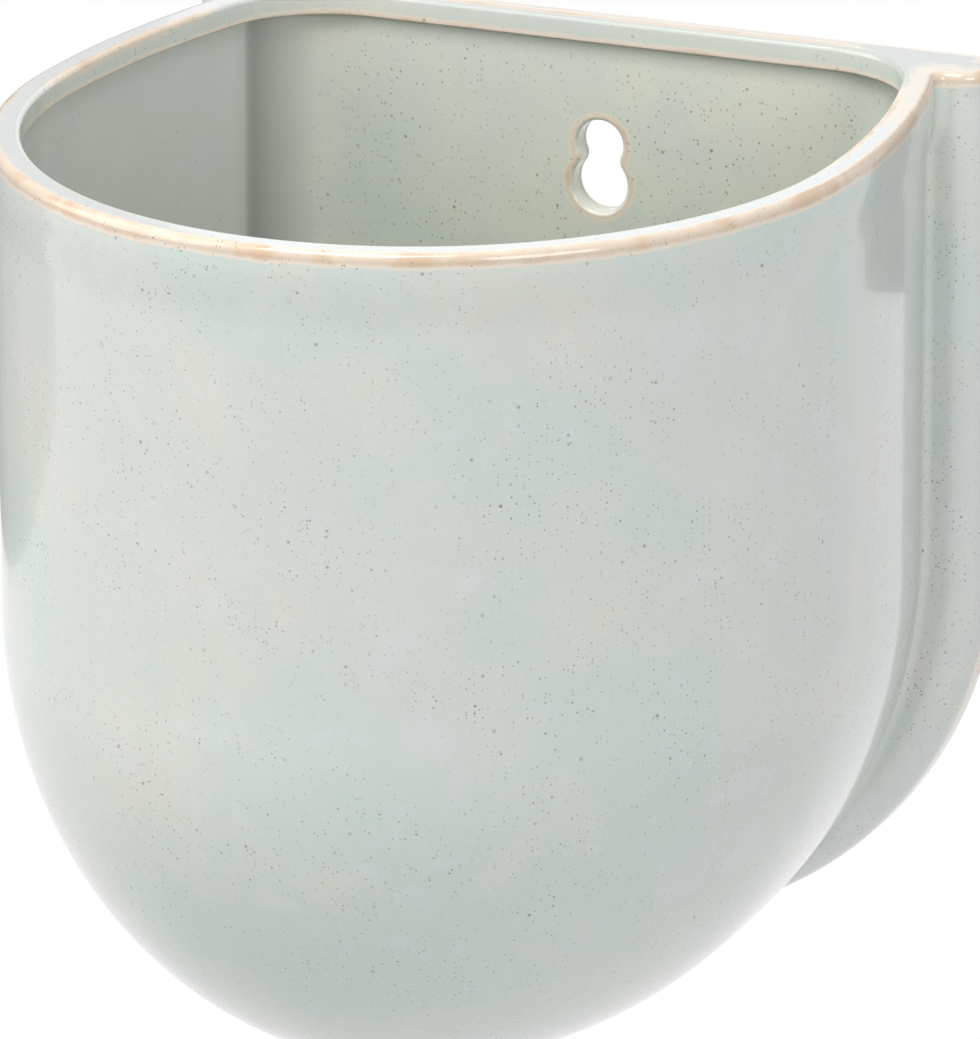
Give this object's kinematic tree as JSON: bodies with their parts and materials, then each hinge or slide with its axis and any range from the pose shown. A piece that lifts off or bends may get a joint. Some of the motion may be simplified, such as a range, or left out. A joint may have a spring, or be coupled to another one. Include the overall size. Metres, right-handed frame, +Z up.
{
  "type": "wall planter",
  "caption": "Deep half-round glazed stoneware wall planter with an arched wall plate, a raised lip and a keyhole for hanging.",
  "frame": {"origin": "middle of the keyhole's upper seat, on the wall plane", "axes": "+Z up, -Y out of the wall towards the viewer, X across; the wall is the plane Y = 0"},
  "size_m": [0.1756, 0.1798, 0.1914],
  "materials": {
    "celadon_glaze": "gloss reactive glaze, pale grey green with fine dark iron specks and mint, cream and lavender clouds",
    "rim_glaze": "the same gloss glaze, broken to tan and white where it runs thin over the edges"
  },
  "bodies": {
    "root": {"bowl": "celadon_glaze", "back_plate": "celadon_glaze", "rim": "rim_glaze"}
  },
  "joints": []
}
